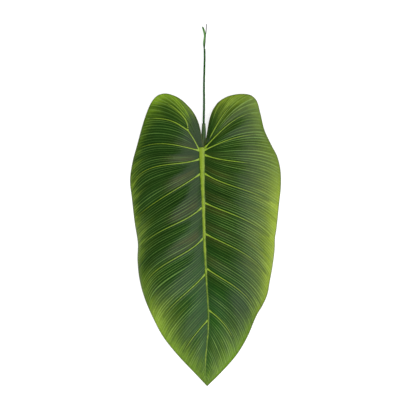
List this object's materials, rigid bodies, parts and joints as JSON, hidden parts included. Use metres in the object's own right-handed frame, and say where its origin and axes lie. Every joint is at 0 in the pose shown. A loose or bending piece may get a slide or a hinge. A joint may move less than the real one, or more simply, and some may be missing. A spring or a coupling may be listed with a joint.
{
  "type": "artificial banana leaf",
  "caption": "Heart-shaped printed fabric leaf with a pointed tip, raised veins, a moulded back spine with a socket, and a tape-wrapped wire stem, lying face up.",
  "frame": {"origin": "under the middle of the whole part's box, on the surface that it lies on", "axes": "+Y from the leaf's tip towards the end of the stem, +Z out of the leaf's printed face, +X to the right as the face is seen with the stem at the top"},
  "size_m": [0.181, 0.4348, 0.0146],
  "materials": {
    "leaf_blade": "satin",
    "back_spine": "matte",
    "stem_tape": "matte",
    "stem_wire": "satin"
  },
  "bodies": {
    "root": {"leaf_blade": "leaf_blade", "back_spine": "back_spine", "stem_tape": "stem_tape", "stem_wire": "stem_wire"}
  },
  "joints": []
}
